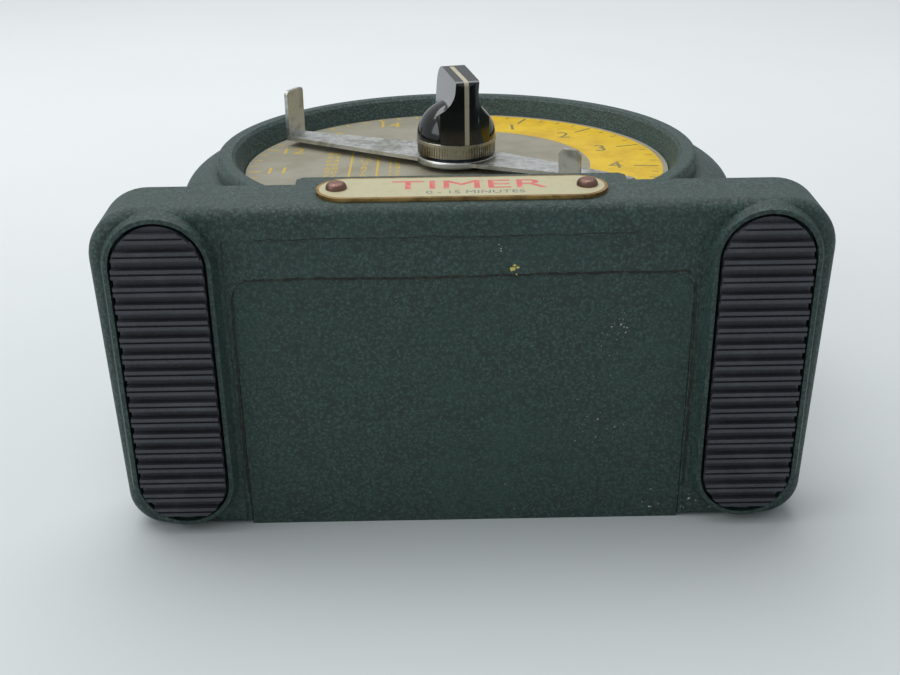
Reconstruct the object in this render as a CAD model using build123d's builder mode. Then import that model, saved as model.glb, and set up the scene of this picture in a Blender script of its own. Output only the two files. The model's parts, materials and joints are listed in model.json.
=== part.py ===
"""Spring-wound fifteen-minute interval timer with a footed cast housing.

The timer lies on its back: +Z comes out of the dial, +Y points to the dial's twelve o'clock and
-Y is the footed underside.  The origin is on the dial axis, in the plane of the flat back.
All sizes are in millimetres.
"""
from math import acos, cos, pi, radians, sin, sqrt, tan
import os

from build123d import *

os.makedirs("parts", exist_ok=True)

# ---------------------------------------------------------------- driving dimensions
# Housing
opening_radius = 61.5            # dial opening in the bezel plane
bezel_z = 75.0                   # bezel plane above the back
bezel_outer_radius = 66.4
drum_radius = 76.3
cavity_radius = 71.5
wall = 3.5
shoulder_height = 8.0            # drop of the convex shoulder below the bezel ring
bezel_ring_height = 4.3          # how far the bezel ring stands above the shoulder

# Base (the foot that the timer stands on when it is upright)
base_front_width = 167.6         # the base narrows a little towards the back
base_rear_width = 163.8
base_depth = 82.6                # front to back along the underside
base_height = 17.0
base_lean = 3.0                  # the dial leans back this many degrees when upright
base_rear_y = -78.2              # underside at the plane of the back
base_front_radius = 11.8
base_rear_radius = 9.0

# Dial
dial_face_z = 69.3
dial_radius = 59.0
dial_thickness = 0.5
recess_floor_radius = 59.2
recess_floor_z = dial_face_z - dial_thickness
front_wall_back_z = recess_floor_z - wall

# Feet
foot_x = 67.5
foot_centre_s = 42.0             # along the underside, from the back plane
foot_length = 75.6
foot_width = 20.2
foot_top = 4.1                   # rib tops above the underside
foot_gap = 0.8
boss_height = 3.0
boss_foot_radius = 14.2
boss_foot_x = base_rear_width / 2 - boss_foot_radius
boss_top_radius = 11.9
foot_seat = -0.2
rib_pitch = 4.16
rib_count = 18

# Hub stack, from the dial outwards
hub_bush_radius = 5.0
running_gap = 0.08
lever_hub_z = (70.4, 72.4)
lever_arm_z = (71.0, 72.1)
washer_z = (72.5, 73.1)
clamp_z = (73.2, 77.3)
knob_z = (77.4, 94.5)
knob_direction = 166.5           # where the nose points, in clock degrees from twelve
lever_direction = 120.9          # where the lever's pointer points, in clock degrees

# Movement
arbor_radius = 2.5
back_plate_z = (38.0, 39.5)
front_plate_z = (60.3, 61.8)
pivot_radius = 0.8
pivot_gap = 0.05

underside = Plane(
    origin=(0, base_rear_y, 0),
    x_dir=(1, 0, 0),
    z_dir=(0, -cos(radians(base_lean)), -sin(radians(base_lean))),
)
outward = Axis(underside.origin, underside.z_dir)
base_face = Plane(
    origin=underside.from_local_coords((0, base_depth, 0)),
    x_dir=(1, 0, 0),
    z_dir=(0, -sin(radians(base_lean)), cos(radians(base_lean))),
)


def clock_point(clock_degrees, radius):
    """Plan position at a clock angle (clockwise from twelve) and a radius."""
    angle = radians(clock_degrees)
    return (radius * sin(angle), radius * cos(angle))


def polar_point(degrees, radius, centre=(0, 0)):
    """Plan position at an ordinary angle (anticlockwise from +X) round a centre."""
    angle = radians(degrees)
    return (centre[0] + radius * cos(angle), centre[1] + radius * sin(angle))


def add_cylinder(centre, bottom, top, radius, mode=Mode.ADD):
    """Add (or cut) an upright cylinder in the part being built."""
    with BuildSketch(Plane.XY.offset(bottom)) as circle:
        with Locations(centre):
            Circle(radius)
    extrude(circle.sketch, amount=top - bottom, mode=mode)


def add_turned(place, outline, mode=Mode.ADD):
    """Add (or cut) a turned shape; its outline is (radius, height) along the place's Z axis."""
    with BuildSketch(Plane(origin=place.origin, x_dir=place.x_dir, z_dir=-place.y_dir)) as profile:
        with BuildLine():
            Polyline(*outline, close=True)
        make_face()
    revolve(profile.sketch, axis=Axis(place.origin, place.z_dir), mode=mode)


def add_slotted_screw(place, head_radius, head_height, shank_radius, length):
    """Add a cheese-head screw: the head stands along +Z of the place and the shank goes the other way."""
    add_turned(
        place,
        [
            (0, head_height),
            (head_radius, head_height),
            (head_radius, 0),
            (shank_radius, 0),
            (shank_radius, -length),
            (0, -length),
        ],
    )
    with BuildSketch(place.offset(head_height)) as slot:
        Rectangle(2 * head_radius, screw_slot_width)
    extrude(slot.sketch, amount=-screw_slot_depth, mode=Mode.SUBTRACT)


screw_slot_width = 0.7
screw_slot_depth = 0.6

# ---------------------------------------------------------------- housing
back_edge_radius = 4.0
bezel_lip_radius = 1.4
opening_lip = 0.9
underside_edge_radius = 2.6
ridge_edge_radius = 2.0
flare_radius = 12.0
flare_height = 58.0

cover_half_width = 52.3          # bottom cover plate
cover_front_s = 65.4
cover_corner = 5.0
cover_thickness = 1.6
panel_half_width = 53.6
panel_front_s = 75.0
panel_depth = 0.35
cover_sink = 0.25                # how far the cover plate lies below the panel
cover_gap = 0.12
cover_ledge = 5.0

back_cover_radius = 72.7
back_cover_thickness = 1.4
lug_ring = 68.5
lug_radius = 4.4
lug_height = 16.0
lug_angles = (45, 135, 225, 315)
screw_radius = 1.5
screw_head_radius = 3.0
screw_length = 9.0

nameplate_length = 65.6
nameplate_width = 13.8
nameplate_thickness = 0.9
nameplate_y = 9.7                # up the base's front face, from the underside
nameplate_pad_half = 38.0
nameplate_pad_top = 20.3
pin_x = 28.2
pin_shank_radius = 1.1
pin_head_radius = 2.4
pin_head_height = 1.5
pin_length = 7.0

bush_neck_radius = 6.0
movement_screw_places = ((-33, 0), (33, 0), (-20, 50))
movement_boss_radius = 4.0

with BuildPart() as housing:
    # The base block, with its rounded outline and edges
    with BuildSketch(underside) as base_outline:
        with BuildLine():
            Polyline(
                (-base_rear_width / 2, 0),
                (base_rear_width / 2, 0),
                (base_front_width / 2, base_depth),
                (-base_front_width / 2, base_depth),
                close=True,
            )
        make_face()
        fillet(base_outline.vertices().group_by(Axis.Y)[-1], base_front_radius)
        fillet(base_outline.vertices().group_by(Axis.Y)[0], base_rear_radius)
    extrude(amount=-base_height)
    fillet(housing.faces().sort_by(outward)[-1].edges(), underside_edge_radius)
    fillet(housing.faces().sort_by(outward)[0].edges(), ridge_edge_radius)

    # The drum: straight wall, convex shoulder, then the raised bezel ring
    with BuildSketch(Plane.XZ) as drum_profile:
        shoulder_top = bezel_z - bezel_ring_height
        shoulder_foot = shoulder_top - shoulder_height
        with BuildLine():
            Line((0, bezel_z), (0, 0))
            Line((0, 0), (drum_radius - back_edge_radius, 0))
            RadiusArc(
                (drum_radius - back_edge_radius, 0),
                (drum_radius, back_edge_radius),
                -back_edge_radius,
            )
            Line((drum_radius, back_edge_radius), (drum_radius, shoulder_foot))
            EllipticalCenterArc(
                (bezel_outer_radius, shoulder_foot),
                drum_radius - bezel_outer_radius,
                shoulder_height,
                start_angle=0,
                arc_size=90,
            )
            Line((bezel_outer_radius, shoulder_top), (bezel_outer_radius, bezel_z))
            Line((bezel_outer_radius, bezel_z), (0, bezel_z))
        make_face()
        fillet(drum_profile.vertices().sort_by_distance((bezel_outer_radius, bezel_z))[0], bezel_lip_radius)
    revolve(axis=Axis.Z)

    # Flares that run from the drum's sides into the base
    flare_line = base_rear_y + base_height - 1.5
    flare_centre_y = flare_line + flare_radius
    flare_centre_x = sqrt((drum_radius + flare_radius) ** 2 - flare_centre_y**2)
    tangent_share = drum_radius / (drum_radius + flare_radius)
    with BuildSketch(Plane.XY) as flare_plan:
        for side in (-1, 1):
            start = (side * flare_centre_x * tangent_share, flare_centre_y * tangent_share)
            end = (side * flare_centre_x, flare_line)
            with BuildLine():
                Line((0, flare_line - 2), (0, flare_centre_y * tangent_share))
                Line((0, flare_centre_y * tangent_share), start)
                RadiusArc(start, end, -side * flare_radius)
                Line(end, (side * flare_centre_x, flare_line - 2))
                Line((side * flare_centre_x, flare_line - 2), (0, flare_line - 2))
            make_face()
    extrude(amount=flare_height)
    with BuildSketch(underside):
        with Locations((0, base_depth / 2)):
            Rectangle(2 * base_front_width, 2 * base_depth)
    extrude(amount=10, mode=Mode.SUBTRACT)

    # The flat that carries the nameplate, between the ridge and the dial opening
    with BuildSketch(base_face) as nameplate_pad:
        with Locations((0, nameplate_pad_top / 2 + 2)):
            Rectangle(2 * nameplate_pad_half, nameplate_pad_top - 4)
        chamfer(nameplate_pad.vertices().group_by(Axis.Y)[-1], 1.4)
    extrude(amount=-9)

    # Raised bosses round the two feet, whose outer slopes run down the base's own sides
    for side in (-1, 1):
        with BuildSketch(underside.offset(-boss_height)):
            with Locations((side * boss_foot_x, base_depth / 2)):
                SlotOverall(base_depth, 2 * boss_foot_radius, rotation=90)
        with BuildSketch(underside.offset(boss_height)):
            with Locations((side * foot_x, foot_centre_s)):
                SlotOverall(foot_length - foot_width + 2 * boss_top_radius, 2 * boss_top_radius, rotation=90)
        loft()

    # Drum cavity, dial recess and the hole for the hub
    with BuildSketch(Plane.XZ):
        with BuildLine():
            Polyline(
                (0, back_cover_thickness),
                (cavity_radius, back_cover_thickness),
                (cavity_radius, 54),
                (60, front_wall_back_z),
                (0, front_wall_back_z),
                close=True,
            )
        make_face()
    revolve(axis=Axis.Z, mode=Mode.SUBTRACT)
    with BuildSketch(Plane.XZ):
        with BuildLine():
            Polyline(
                (0, recess_floor_z),
                (recess_floor_radius, recess_floor_z),
                (opening_radius, bezel_z - opening_lip),
                (opening_radius + opening_lip, bezel_z),
                (opening_radius + opening_lip, bezel_z + 0.01),
                (opening_radius, bezel_z + 0.01),
                (opening_radius, bezel_z + 15),
                (0, bezel_z + 15),
                close=True,
            )
        make_face()
    revolve(axis=Axis.Z, mode=Mode.SUBTRACT)
    with BuildSketch(Plane.XY):
        Circle(back_cover_radius + 0.15)
    extrude(amount=back_cover_thickness, mode=Mode.SUBTRACT)
    with BuildSketch(Plane.XY.offset(front_wall_back_z)):
        Circle(bush_neck_radius)
    extrude(amount=10, mode=Mode.SUBTRACT)

    # Hollow of the base: side pockets, then the way out under the cover plate
    with BuildSketch(underside.offset(-wall)):
        with Locations((0, base_depth / 2)):
            RectangleRounded(base_rear_width - 2 * wall - 3, base_depth - 2 * wall - 2, 6)
    extrude(amount=-(base_height - 2 * wall), mode=Mode.SUBTRACT)
    with BuildSketch(underside):
        with Locations((0, panel_front_s / 2 - 5)):
            Rectangle(2 * panel_half_width, panel_front_s + 10)
    extrude(amount=-panel_depth, mode=Mode.SUBTRACT)
    with BuildSketch(underside) as cover_seat:
        with Locations((0, cover_front_s / 2 - 5)):
            Rectangle(2 * (cover_half_width + cover_gap), cover_front_s + 10 + 2 * cover_gap)
        fillet(cover_seat.vertices().group_by(Axis.Y)[-1], cover_corner)
    extrude(amount=-(panel_depth + cover_sink + cover_thickness), mode=Mode.SUBTRACT)
    with BuildSketch(underside):
        with Locations((0, cover_front_s / 2)):
            RectangleRounded(2 * (cover_half_width - cover_ledge), cover_front_s - 2 * cover_ledge, 4)
    extrude(amount=-18, mode=Mode.SUBTRACT)

    # Lugs for the back cover and bosses for the movement
    with BuildSketch(Plane.XY.offset(back_cover_thickness)):
        for angle in lug_angles:
            with Locations(polar_point(angle, lug_ring)):
                Circle(lug_radius)
    extrude(amount=lug_height)
    with BuildSketch(Plane.XY.offset(front_plate_z[1])):
        with Locations(*movement_screw_places):
            Circle(movement_boss_radius)
    extrude(amount=front_wall_back_z - front_plate_z[1] + 0.5)

    # Screw and pin holes
    with BuildSketch(Plane.XY.offset(back_cover_thickness)):
        for angle in lug_angles:
            with Locations(polar_point(angle, lug_ring)):
                Circle(screw_radius)
    extrude(amount=screw_length, mode=Mode.SUBTRACT)
    with BuildSketch(Plane.XY.offset(front_plate_z[1])):
        with Locations(*movement_screw_places):
            Circle(screw_radius)
    extrude(amount=3.2, mode=Mode.SUBTRACT)
    with BuildSketch(base_face):
        with Locations((-pin_x, nameplate_y), (pin_x, nameplate_y)):
            Circle(pin_shank_radius)
    extrude(amount=-pin_length, mode=Mode.SUBTRACT)

    # Seats for the two rubber feet
    with BuildSketch(underside.offset(foot_seat)):
        with Locations((-foot_x, foot_centre_s), (foot_x, foot_centre_s)):
            SlotOverall(foot_length + 2 * foot_gap, foot_width + 2 * foot_gap, rotation=90)
    extrude(amount=10, mode=Mode.SUBTRACT)
housing.part.label = "housing"
export_step(housing.part, "parts/housing.step")


# ---------------------------------------------------------------- covers and feet
sound_hole_radius = 2.6
sound_hole_ring = 34.0
sound_hole_count = 10

with BuildPart() as base_cover:
    with BuildSketch(underside.offset(-(panel_depth + cover_sink))) as cover_plan:
        with Locations((0, cover_front_s / 2)):
            Rectangle(2 * cover_half_width, cover_front_s)
        fillet(cover_plan.vertices().group_by(Axis.Y)[-1], cover_corner - cover_gap)
    extrude(amount=-cover_thickness)
    with BuildSketch(Plane.XY):
        Rectangle(4 * base_front_width, 4 * base_front_width)
    extrude(amount=-10, mode=Mode.SUBTRACT)
base_cover.part.label = "base_cover"
export_step(base_cover.part, "parts/base_cover.step")

with BuildPart() as back_cover:
    with BuildSketch(Plane.XY):
        Circle(back_cover_radius)
    extrude(amount=back_cover_thickness)
    with BuildSketch(Plane.XY):
        with PolarLocations(sound_hole_ring, sound_hole_count):
            Circle(sound_hole_radius)
        with PolarLocations(sound_hole_ring / 2, sound_hole_count // 2):
            Circle(sound_hole_radius)
    extrude(amount=back_cover_thickness, mode=Mode.SUBTRACT)
    for angle in lug_angles:
        with Locations(Plane(origin=(*polar_point(angle, lug_ring), 0), z_dir=(0, 0, -1))):
            CounterSinkHole(screw_radius + 0.1, screw_head_radius, depth=back_cover_thickness)
back_cover.part.label = "back_cover"
export_step(back_cover.part, "parts/back_cover.step")

with BuildPart() as back_cover_screws:
    head_drop = back_cover_thickness - 0.05
    for angle in lug_angles:
        place = Plane(
            origin=(*polar_point(angle, lug_ring), 0),
            x_dir=(cos(radians(angle + 30)), sin(radians(angle + 30)), 0),
        )
        add_turned(
            place,
            [
                (0, 0),
                (screw_head_radius - 0.05, 0),
                (screw_radius, head_drop),
                (screw_radius, screw_length),
                (0, screw_length),
            ],
        )
        with BuildSketch(place):
            Rectangle(2 * screw_head_radius, screw_slot_width)
        extrude(amount=screw_slot_depth, mode=Mode.SUBTRACT)
back_cover_screws.part.label = "back_cover_screws"
export_step(back_cover_screws.part, "parts/back_cover_screws.step")

# Rubber feet: each rib period is two thin ridges with a shallow groove, then one broad groove
ridge_width = 0.85
narrow_groove = 0.5
narrow_depth = 0.6
broad_depth = 1.6
broad_groove = rib_pitch - 2 * ridge_width - narrow_groove

for side, name in ((-1, "rubber_foot_left"), (1, "rubber_foot_right")):
    with BuildPart() as rubber_foot:
        with BuildSketch(underside.offset(foot_seat)):
            with Locations((side * foot_x, foot_centre_s)):
                SlotOverall(foot_length, foot_width, rotation=90)
        extrude(amount=foot_top - foot_seat)
        with BuildSketch(underside.offset(foot_top)):
            with Locations((side * foot_x, foot_centre_s)):
                with GridLocations(0, rib_pitch, 1, rib_count + 1):
                    Rectangle(2 * foot_width, broad_groove)
        extrude(amount=-broad_depth, mode=Mode.SUBTRACT)
        with BuildSketch(underside.offset(foot_top)):
            with Locations((side * foot_x, foot_centre_s)):
                with GridLocations(0, rib_pitch, 1, rib_count):
                    Rectangle(2 * foot_width, narrow_groove)
        extrude(amount=-narrow_depth, mode=Mode.SUBTRACT)
    rubber_foot.part.label = name
    export_step(rubber_foot.part, f"parts/{name}.step")

# ---------------------------------------------------------------- nameplate
with BuildPart() as nameplate:
    with BuildSketch(base_face):
        with Locations((0, nameplate_y)):
            SlotOverall(nameplate_length, nameplate_width)
        with Locations((-pin_x, nameplate_y), (pin_x, nameplate_y)):
            Circle(pin_shank_radius, mode=Mode.SUBTRACT)
    extrude(amount=nameplate_thickness)
nameplate.part.label = "nameplate"
export_step(nameplate.part, "parts/nameplate.step")

with BuildPart() as nameplate_pins:
    for x in (-pin_x, pin_x):
        with BuildSketch(base_face.offset(nameplate_thickness)) as shank:
            with Locations((x, nameplate_y)):
                Circle(pin_shank_radius)
        extrude(shank.sketch, amount=-pin_length)
        with BuildSketch(base_face.offset(nameplate_thickness)) as head:
            with Locations((x, nameplate_y)):
                Circle(pin_head_radius)
        extrude(head.sketch, amount=pin_head_height)
    head_rims = nameplate_pins.edges().filter_by(GeomType.CIRCLE).group_by(Axis.Z)[-1]
    fillet(head_rims, pin_head_height - 0.25)
nameplate_pins.part.label = "nameplate_pins"
export_step(nameplate_pins.part, "parts/nameplate_pins.step")

# ---------------------------------------------------------------- dial and hub
bush_flange_radius = 9.0
bush_flange_height = 2.0
bush_top_z = 76.6
arbor_bore_gap = 0.06
dial_nut_radius = 8.0
dial_nut_height = 1.0
washer_radius = 9.0

with BuildPart() as dial_plate:
    add_cylinder((0, 0), recess_floor_z, dial_face_z, dial_radius)
    add_cylinder((0, 0), recess_floor_z, dial_face_z, bush_neck_radius, mode=Mode.SUBTRACT)
dial_plate.part.label = "dial_plate"
export_step(dial_plate.part, "parts/dial_plate.step")

with BuildPart() as hub_bush:
    add_turned(
        Plane.XY,
        [
            (arbor_radius + arbor_bore_gap, front_wall_back_z - bush_flange_height),
            (bush_flange_radius, front_wall_back_z - bush_flange_height),
            (bush_flange_radius, front_wall_back_z),
            (bush_neck_radius, front_wall_back_z),
            (bush_neck_radius, dial_face_z),
            (hub_bush_radius, dial_face_z),
            (hub_bush_radius, bush_top_z),
            (arbor_radius + arbor_bore_gap, bush_top_z),
        ],
    )
hub_bush.part.label = "hub_bush"
export_step(hub_bush.part, "parts/hub_bush.step")

with BuildPart() as dial_nut:
    with BuildSketch(Plane.XY.offset(dial_face_z)):
        RegularPolygon(dial_nut_radius, 6)
        Circle(hub_bush_radius, mode=Mode.SUBTRACT)
    extrude(amount=dial_nut_height)
dial_nut.part.label = "dial_nut"
export_step(dial_nut.part, "parts/dial_nut.step")

with BuildPart() as friction_washer:
    with BuildSketch(Plane.XY.offset(washer_z[0])):
        Circle(washer_radius)
        Circle(hub_bush_radius, mode=Mode.SUBTRACT)
    extrude(amount=washer_z[1] - washer_z[0])
friction_washer.part.label = "friction_washer"
export_step(friction_washer.part, "parts/friction_washer.step")

# ---------------------------------------------------------------- preset lever
lever_hub_radius = 11.4
lever_hub_round = 0.8
pointer_tip_radius = 54.0
arm_root_half_width = 8.6
pointer_neck = 6.0               # from the short tab's middle to where the pointer narrows
tab_thickness = 1.1
long_tab_direction = 298.4       # clock direction of the arm that carries the long tab
long_tab_radius = 54.8
long_tab_width = 8.2
long_tab_top = 85.6
short_tab_radius = 37.0
short_tab_width = 6.2
short_tab_top = 78.7
short_tab_offset = 4.6           # from the pointer's middle line to the tab's outer face
tab_corner = 1.2

pointer_line = Plane(origin=(0, 0, 0), x_dir=(*clock_point(lever_direction, 1), 0), z_dir=(0, 0, 1))
long_arm_line = Plane(origin=(0, 0, 0), x_dir=(*clock_point(long_tab_direction, 1), 0), z_dir=(0, 0, 1))

with BuildPart() as preset_lever:
    add_cylinder((0, 0), lever_hub_z[0], lever_hub_z[1], lever_hub_radius)
    fillet(preset_lever.edges().filter_by(GeomType.CIRCLE), lever_hub_round)
    # Pointer arm: it narrows past the short tab to a rounded tip
    with BuildSketch(pointer_line.offset(lever_arm_z[0])):
        with BuildLine():
            Polyline(
                (0, -arm_root_half_width),
                (short_tab_radius - short_tab_width / 2, -short_tab_offset),
                (short_tab_radius + short_tab_width / 2, -short_tab_offset),
                (short_tab_radius + pointer_neck, -2.4),
                (pointer_tip_radius - 1.0, -0.9),
                (pointer_tip_radius, 0),
                (pointer_tip_radius - 1.0, 0.9),
                (short_tab_radius + pointer_neck, 2.6),
                (short_tab_radius, 3.6),
                (0, arm_root_half_width),
                close=True,
            )
        make_face()
    extrude(amount=lever_arm_z[1] - lever_arm_z[0])
    # Long arm
    with BuildSketch(long_arm_line.offset(lever_arm_z[0])):
        with BuildLine():
            Polyline(
                (0, -arm_root_half_width),
                (long_tab_radius, -long_tab_width / 2),
                (long_tab_radius, long_tab_width / 2),
                (0, arm_root_half_width),
                close=True,
            )
        make_face()
    extrude(amount=lever_arm_z[1] - lever_arm_z[0])
    # Long tab, bent up across the end of its arm
    long_tab_plane = Plane(
        origin=long_arm_line.from_local_coords((long_tab_radius, 0, lever_arm_z[0])),
        x_dir=long_arm_line.y_dir,
        z_dir=long_arm_line.x_dir,
    )
    long_tab_height = long_tab_top - lever_arm_z[0]
    with BuildSketch(long_tab_plane) as long_tab_face:
        with Locations((0, long_tab_height / 2)):
            Rectangle(long_tab_width, long_tab_height)
        fillet(long_tab_face.vertices().group_by(Axis.Y)[-1], tab_corner)
    extrude(amount=-tab_thickness)
    # Short tab, bent up along the pointer arm's near edge
    short_tab_plane = Plane(
        origin=pointer_line.from_local_coords((short_tab_radius, -short_tab_offset, lever_arm_z[0])),
        x_dir=pointer_line.x_dir,
        z_dir=-pointer_line.y_dir,
    )
    short_tab_height = short_tab_top - lever_arm_z[0]
    with BuildSketch(short_tab_plane) as short_tab_face:
        with Locations((0, short_tab_height / 2)):
            Rectangle(short_tab_width, short_tab_height)
        chamfer(short_tab_face.vertices().group_by(Axis.Y)[-1], tab_corner)
    extrude(amount=-tab_thickness)
    add_cylinder((0, 0), lever_hub_z[0] - 1, lever_hub_z[1] + 1, hub_bush_radius + running_gap, mode=Mode.SUBTRACT)
preset_lever.part.label = "preset_lever"
export_step(preset_lever.part, "parts/preset_lever.step")

# ---------------------------------------------------------------- knurled clamp nut
clamp_radius = 10.9
clamp_lip_radius = 11.1
clamp_lip_height = 1.0
clamp_lip_round = 0.35
knurl_count = 84
knurl_depth = 0.22

with BuildPart() as clamp_nut:
    with BuildSketch(Plane.XY.offset(clamp_z[0])):
        Circle(clamp_radius)
        with PolarLocations(clamp_radius, knurl_count, rotate=True):
            Rectangle(2 * knurl_depth, pi * clamp_radius / knurl_count, mode=Mode.SUBTRACT)
    extrude(amount=clamp_z[1] - clamp_lip_height - clamp_z[0])
    add_cylinder((0, 0), clamp_z[1] - clamp_lip_height, clamp_z[1], clamp_lip_radius)
    fillet(clamp_nut.edges().filter_by(GeomType.CIRCLE).sort_by(Axis.Z)[-1], clamp_lip_round)
    add_cylinder((0, 0), clamp_z[0], clamp_z[1], hub_bush_radius + running_gap, mode=Mode.SUBTRACT)
clamp_nut.part.label = "clamp_nut"
export_step(clamp_nut.part, "parts/clamp_nut.step")

# ---------------------------------------------------------------- knob
skirt_radius = 11.0
skirt_height = 10.2
bar_nose = 11.9                  # reach of the bar towards its nose
bar_heel = 10.4                  # and the other way
bar_half_width = 3.25
bar_flare_half_width = 6.9
bar_rise = 1.5                   # the bar's back rises this much from nose to heel
bar_nose_round = 1.6
bar_heel_round = 5.0
hollow_radius = 6.0              # of the hollows along both sides of the bar
hollow_tilt = 21.4               # they run downwards towards the nose, in degrees
hollow_centre_z = 87.4           # height of their centres, over the knob's axis
index_start = 4.4                # behind the knob's axis, on top of the bar
index_width = 1.25
index_depth = 0.8
index_proud = 0.06
knob_bore_top = 88.0
set_screw_z = 80.2
set_screw_radius = 1.5
set_screw_length = 5.0
set_screw_slot = (0.5, 0.8)      # width and depth
skirt_overlap = 0.3              # the bar's nose stands this far out of the skirt's circle
heel_inset = 0.2                 # and its heel stays this far inside it

knob_line = Plane(origin=(0, 0, 0), x_dir=(*clock_point(knob_direction, 1), 0), z_dir=(0, 0, 1))
hollow_section = Plane(
    origin=knob_line.from_local_coords((0, 0, hollow_centre_z)),
    x_dir=knob_line.y_dir,
    z_dir=knob_line.x_dir,
).rotated((-hollow_tilt, 0, 0))
bar_side = Plane(
    origin=knob_line.from_local_coords((0, 0, 0)),
    x_dir=knob_line.x_dir,
    z_dir=-knob_line.y_dir,
)


def bar_back(x):
    """Height of the bar's back, at a distance x ahead of the knob's axis."""
    return knob_z[1] + bar_rise * (bar_nose - x) / (bar_nose + bar_heel)


with BuildPart() as knob_bar:
    # Side view of the bar
    with BuildSketch(bar_side) as side_view:
        with BuildLine():
            Polyline(
                (bar_nose, knob_z[0]),
                (bar_nose, bar_back(bar_nose)),
                (-bar_heel, bar_back(-bar_heel)),
                (-bar_heel, knob_z[0]),
                close=True,
            )
        make_face()
        fillet(side_view.vertices().sort_by_distance((bar_nose, bar_back(bar_nose)))[0], bar_nose_round)
        fillet(side_view.vertices().sort_by_distance((-bar_heel, bar_back(-bar_heel)))[0], bar_heel_round)
    extrude(amount=bar_flare_half_width, both=True)
    # Trimmed in plan to the round of the skirt, with the nose standing out of it
    with BuildSketch(knob_line.offset(knob_z[0])):
        with Locations((bar_nose - skirt_radius - skirt_overlap, 0)):
            Circle(skirt_radius + skirt_overlap)
        Circle(skirt_radius - heel_inset)
    extrude(amount=2 * (knob_z[1] - knob_z[0]), mode=Mode.INTERSECT)
    # Hollows that leave a slim bar between them
    with BuildSketch(hollow_section) as hollow:
        with BuildLine():
            Line((bar_half_width, 4 * hollow_radius), (bar_half_width, 0))
            RadiusArc(
                (bar_half_width, 0),
                (bar_half_width + hollow_radius, -hollow_radius),
                -hollow_radius,
            )
            Line(
                (bar_half_width + hollow_radius, -hollow_radius),
                (bar_half_width + 2 * hollow_radius, -hollow_radius),
            )
            Line(
                (bar_half_width + 2 * hollow_radius, -hollow_radius),
                (bar_half_width + 2 * hollow_radius, 4 * hollow_radius),
            )
            Line((bar_half_width + 2 * hollow_radius, 4 * hollow_radius), (bar_half_width, 4 * hollow_radius))
        make_face()
        mirror(about=Plane.YZ)
    extrude(amount=2 * bar_nose, both=True, mode=Mode.SUBTRACT)

with BuildPart() as knob:
    # Domed skirt, with the bar across it
    with BuildSketch(bar_side):
        with BuildLine():
            Line((0, knob_z[0]), (skirt_radius, knob_z[0]))
            EllipticalCenterArc((0, knob_z[0]), skirt_radius, skirt_height, start_angle=0, arc_size=90)
            Line((0, knob_z[0] + skirt_height), (0, knob_z[0]))
        make_face()
    revolve(axis=Axis.Z)
    add(knob_bar.part)
    # Groove for the index line, bore for the arbor, hole for the set screw
    with BuildSketch(bar_side) as index_groove:
        with BuildLine():
            Line((-index_start, bar_back(-index_start) + 1), (-index_start, bar_back(-index_start) - index_depth))
            Line(
                (-index_start, bar_back(-index_start) - index_depth),
                (bar_nose - bar_nose_round, bar_back(bar_nose - bar_nose_round) - index_depth),
            )
            RadiusArc(
                (bar_nose - bar_nose_round, bar_back(bar_nose - bar_nose_round) - index_depth),
                (bar_nose - index_depth, knob_z[1] - bar_nose_round),
                bar_nose_round - index_depth,
            )
            Line((bar_nose - index_depth, knob_z[1] - bar_nose_round), (bar_nose - index_depth, knob_z[0] - 1))
            Line((bar_nose - index_depth, knob_z[0] - 1), (bar_nose + 1, knob_z[0] - 1))
            Line((bar_nose + 1, knob_z[0] - 1), (bar_nose + 1, knob_z[1] + 1))
            Line((bar_nose + 1, knob_z[1] + 1), (-index_start, bar_back(-index_start) + 1))
        make_face()
    extrude(amount=index_width / 2, both=True, mode=Mode.SUBTRACT)
    add_cylinder((0, 0), knob_z[0], knob_bore_top, arbor_radius, mode=Mode.SUBTRACT)
    heel_way = Plane(origin=(0, 0, set_screw_z), x_dir=(0, 0, 1), z_dir=-knob_line.x_dir)
    with BuildSketch(heel_way):
        Circle(set_screw_radius)
    extrude(amount=2 * skirt_radius, mode=Mode.SUBTRACT)
knob.part.label = "knob"
export_step(knob.part, "parts/knob.step")

with BuildPart() as knob_index_line:
    with BuildSketch(bar_side):
        with BuildLine():
            front = bar_nose + index_proud
            Line((-index_start, bar_back(-index_start) - index_depth), (-index_start, bar_back(-index_start) + index_proud))
            Line((-index_start, bar_back(-index_start) + index_proud), (bar_nose - bar_nose_round, bar_back(bar_nose - bar_nose_round) + index_proud))
            RadiusArc(
                (bar_nose - bar_nose_round, bar_back(bar_nose - bar_nose_round) + index_proud),
                (front, knob_z[1] - bar_nose_round),
                bar_nose_round + index_proud,
            )
            Line((front, knob_z[1] - bar_nose_round), (front, knob_z[0]))
            Line((front, knob_z[0]), (bar_nose - index_depth, knob_z[0]))
            Line((bar_nose - index_depth, knob_z[0]), (bar_nose - index_depth, knob_z[1] - bar_nose_round))
            RadiusArc(
                (bar_nose - index_depth, knob_z[1] - bar_nose_round),
                (bar_nose - bar_nose_round, bar_back(bar_nose - bar_nose_round) - index_depth),
                -(bar_nose_round - index_depth),
            )
            Line(
                (bar_nose - bar_nose_round, bar_back(bar_nose - bar_nose_round) - index_depth),
                (-index_start, bar_back(-index_start) - index_depth),
            )
        make_face()
    extrude(amount=index_width / 2, both=True)
knob_index_line.part.label = "knob_index_line"
export_step(knob_index_line.part, "parts/knob_index_line.step")

with BuildPart() as knob_set_screw:
    with BuildSketch(heel_way.offset(arbor_radius)):
        Circle(set_screw_radius)
    extrude(amount=set_screw_length)
    with BuildSketch(heel_way.offset(arbor_radius + set_screw_length)):
        Rectangle(2 * set_screw_radius, set_screw_slot[0])
    extrude(amount=-set_screw_slot[1], mode=Mode.SUBTRACT)
knob_set_screw.part.label = "knob_set_screw"
export_step(knob_set_screw.part, "parts/knob_set_screw.step")

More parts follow.
